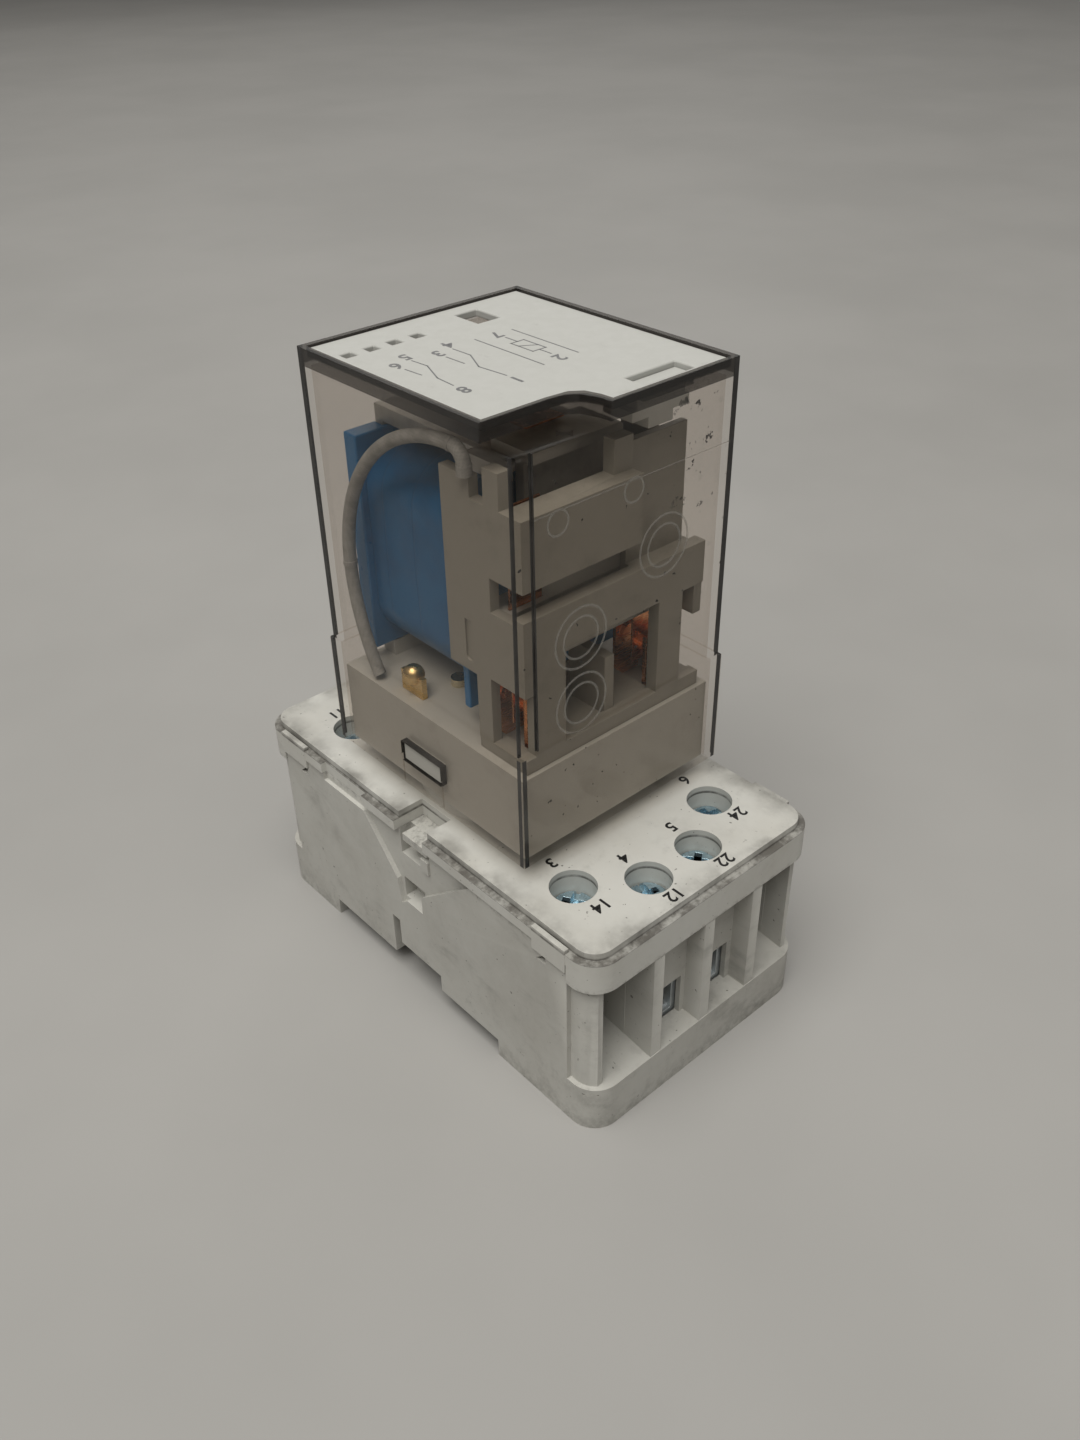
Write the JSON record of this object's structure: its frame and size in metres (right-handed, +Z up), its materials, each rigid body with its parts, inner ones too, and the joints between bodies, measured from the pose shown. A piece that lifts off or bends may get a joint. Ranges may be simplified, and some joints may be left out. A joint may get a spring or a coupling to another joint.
{
  "type": "plug in relay",
  "caption": "Plug in relay with an octal base under a clear smoky cover, seated in a screw terminal socket for a mounting rail.",
  "frame": {"origin": "bottom centre of the socket", "axes": "+X across the socket along the mounting rail, +Y along the socket, +Z up through the relay"},
  "size_m": [0.042, 0.072, 0.0906],
  "materials": {
    "socket_plastic": "light grey thermoplastic, scuffed, grime along the edges",
    "strip_brass": "plain brass strip",
    "clamp_zinc": "zinc plated steel cage",
    "screw_zinc": "blue passivated zinc plated steel",
    "spring_steel": "spring steel",
    "clear_cover": "smoky transparent polycarbonate",
    "label_white": "white printed plate",
    "plug_plastic": "white thermoplastic",
    "pin_plated": "plated brass",
    "bobbin_blue": "blue thermoplastic",
    "tape_blue": "blue insulating tape",
    "copper_wire": "enamelled copper wire",
    "iron": "nickel plated soft iron",
    "block_beige": "beige thermoplastic",
    "copper_contact": "copper alloy strip",
    "lead_grey": "grey sleeve",
    "flag_dark": "dark grey thermoplastic"
  },
  "bodies": {
    "socket": {"socket_base": "socket_plastic", "socket_deck": "socket_plastic", "latch_spring": "spring_steel", "contact_strip_1": "strip_brass", "contact_strip_2": "strip_brass", "contact_strip_3": "strip_brass", "contact_strip_4": "strip_brass", "contact_strip_5": "strip_brass", "contact_strip_6": "strip_brass", "contact_strip_7": "strip_brass", "contact_strip_8": "strip_brass"},
    "relay": {"plug_moulding": "plug_plastic", "cover": "clear_cover", "label_plate": "label_white", "plug_pin_1": "pin_plated", "plug_pin_2": "pin_plated", "plug_pin_3": "pin_plated", "plug_pin_4": "pin_plated", "plug_pin_5": "pin_plated", "plug_pin_6": "pin_plated", "plug_pin_7": "pin_plated", "plug_pin_8": "pin_plated", "bobbin": "bobbin_blue", "winding": "copper_wire", "coil_tape": "tape_blue", "core": "iron", "yoke": "iron", "contact_block": "block_beige", "return_spring": "copper_contact", "normally_closed_1": "copper_contact", "normally_closed_2": "copper_contact", "normally_open_1": "copper_contact", "normally_open_2": "copper_contact", "lead_wire_1": "lead_grey", "lead_wire_2": "lead_grey", "coil_terminal_1": "strip_brass", "coil_terminal_2": "strip_brass"},
    "rail_latch": {"rail_latch": "socket_plastic"},
    "armature": {"armature": "iron", "blade_carrier": "plug_plastic", "moving_blade_1": "copper_contact", "moving_blade_2": "copper_contact"},
    "flag": {"flag": "flag_dark"},
    "test_button": {"test_button": "label_white"},
    "clamp_cage_1": {"clamp_cage_1": "clamp_zinc"},
    "clamp_screw_1": {"clamp_screw_1": "screw_zinc"},
    "clamp_cage_2": {"clamp_cage_2": "clamp_zinc"},
    "clamp_screw_2": {"clamp_screw_2": "screw_zinc"},
    "clamp_cage_3": {"clamp_cage_3": "clamp_zinc"},
    "clamp_screw_3": {"clamp_screw_3": "screw_zinc"},
    "clamp_cage_4": {"clamp_cage_4": "clamp_zinc"},
    "clamp_screw_4": {"clamp_screw_4": "screw_zinc"},
    "clamp_cage_5": {"clamp_cage_5": "clamp_zinc"},
    "clamp_screw_5": {"clamp_screw_5": "screw_zinc"},
    "clamp_cage_6": {"clamp_cage_6": "clamp_zinc"},
    "clamp_screw_6": {"clamp_screw_6": "screw_zinc"},
    "clamp_cage_7": {"clamp_cage_7": "clamp_zinc"},
    "clamp_screw_7": {"clamp_screw_7": "screw_zinc"},
    "clamp_cage_8": {"clamp_cage_8": "clamp_zinc"},
    "clamp_screw_8": {"clamp_screw_8": "screw_zinc"}
  },
  "joints": [
    {"name": "relay_pull_out", "type": "slide", "parent": "socket", "child": "relay", "axis": [0, 0, 1], "range_m": [0, 0.03]},
    {"name": "armature_rock", "type": "hinge", "parent": "relay", "child": "armature", "pos_m": [0, -0.00762, 0.0806], "axis": [1, 0, 0], "range_deg": [0, 2.95], "stiffness_Nm_per_rad": 0.02, "springref_deg": -8.59},
    {"name": "flag_slide", "type": "slide", "parent": "relay", "child": "flag", "axis": [0, -1, 0], "range_m": [0, 0.00331]},
    {"name": "test_button_press", "type": "slide", "parent": "relay", "child": "test_button", "axis": [0, 0, -1], "range_m": [0, 0.0012], "stiffness_N_per_m": 400, "springref_m": -0.0005},
    {"name": "rail_latch_pull", "type": "slide", "parent": "socket", "child": "rail_latch", "axis": [0, 1, 0], "range_m": [0, 0.003], "stiffness_N_per_m": 1500, "springref_m": -0.001, "deforming": ["latch_spring"]},
    {"name": "clamp_1_rise", "type": "slide", "parent": "socket", "child": "clamp_cage_1", "axis": [0, 0, 1], "range_m": [0, 0.0042]},
    {"name": "clamp_1_screw", "type": "hinge", "parent": "socket", "child": "clamp_screw_1", "pos_m": [-0.0127, -0.0238, 0.02], "axis": [0, 0, -1], "range_deg": [0, 2521]},
    {"name": "clamp_2_rise", "type": "slide", "parent": "socket", "child": "clamp_cage_2", "axis": [0, 0, 1], "range_m": [0, 0.0042]},
    {"name": "clamp_2_screw", "type": "hinge", "parent": "socket", "child": "clamp_screw_2", "pos_m": [-0.0046, -0.0291, 0.02], "axis": [0, 0, -1], "range_deg": [0, 2521]},
    {"name": "clamp_3_rise", "type": "slide", "parent": "socket", "child": "clamp_cage_3", "axis": [0, 0, 1], "range_m": [0, 0.0042]},
    {"name": "clamp_3_screw", "type": "hinge", "parent": "socket", "child": "clamp_screw_3", "pos_m": [0.0046, -0.0291, 0.02], "axis": [0, 0, -1], "range_deg": [0, 2521]},
    {"name": "clamp_4_rise", "type": "slide", "parent": "socket", "child": "clamp_cage_4", "axis": [0, 0, 1], "range_m": [0, 0.0042]},
    {"name": "clamp_4_screw", "type": "hinge", "parent": "socket", "child": "clamp_screw_4", "pos_m": [0.0127, -0.0238, 0.02], "axis": [0, 0, -1], "range_deg": [0, 2521]},
    {"name": "clamp_5_rise", "type": "slide", "parent": "socket", "child": "clamp_cage_5", "axis": [0, 0, 1], "range_m": [0, 0.0042]},
    {"name": "clamp_5_screw", "type": "hinge", "parent": "socket", "child": "clamp_screw_5", "pos_m": [0.0127, 0.0238, 0.02], "axis": [0, 0, -1], "range_deg": [0, 2521]},
    {"name": "clamp_6_rise", "type": "slide", "parent": "socket", "child": "clamp_cage_6", "axis": [0, 0, 1], "range_m": [0, 0.0042]},
    {"name": "clamp_6_screw", "type": "hinge", "parent": "socket", "child": "clamp_screw_6", "pos_m": [0.0046, 0.0291, 0.02], "axis": [0, 0, -1], "range_deg": [0, 2521]},
    {"name": "clamp_7_rise", "type": "slide", "parent": "socket", "child": "clamp_cage_7", "axis": [0, 0, 1], "range_m": [0, 0.0042]},
    {"name": "clamp_7_screw", "type": "hinge", "parent": "socket", "child": "clamp_screw_7", "pos_m": [-0.0046, 0.0291, 0.02], "axis": [0, 0, -1], "range_deg": [0, 2521]},
    {"name": "clamp_8_rise", "type": "slide", "parent": "socket", "child": "clamp_cage_8", "axis": [0, 0, 1], "range_m": [0, 0.0042]},
    {"name": "clamp_8_screw", "type": "hinge", "parent": "socket", "child": "clamp_screw_8", "pos_m": [-0.0127, 0.0238, 0.02], "axis": [0, 0, -1], "range_deg": [0, 2521]}
  ],
  "couplings": [
    {"joint": "flag_slide", "follows": "armature_rock", "m_per_rad": 0.06409},
    {"joint": "clamp_1_screw", "follows": "clamp_1_rise", "rad_per_m": 10472},
    {"joint": "clamp_2_screw", "follows": "clamp_2_rise", "rad_per_m": 10472},
    {"joint": "clamp_3_screw", "follows": "clamp_3_rise", "rad_per_m": 10472},
    {"joint": "clamp_4_screw", "follows": "clamp_4_rise", "rad_per_m": 10472},
    {"joint": "clamp_5_screw", "follows": "clamp_5_rise", "rad_per_m": 10472},
    {"joint": "clamp_6_screw", "follows": "clamp_6_rise", "rad_per_m": 10472},
    {"joint": "clamp_7_screw", "follows": "clamp_7_rise", "rad_per_m": 10472},
    {"joint": "clamp_8_screw", "follows": "clamp_8_rise", "rad_per_m": 10472}
  ]
}
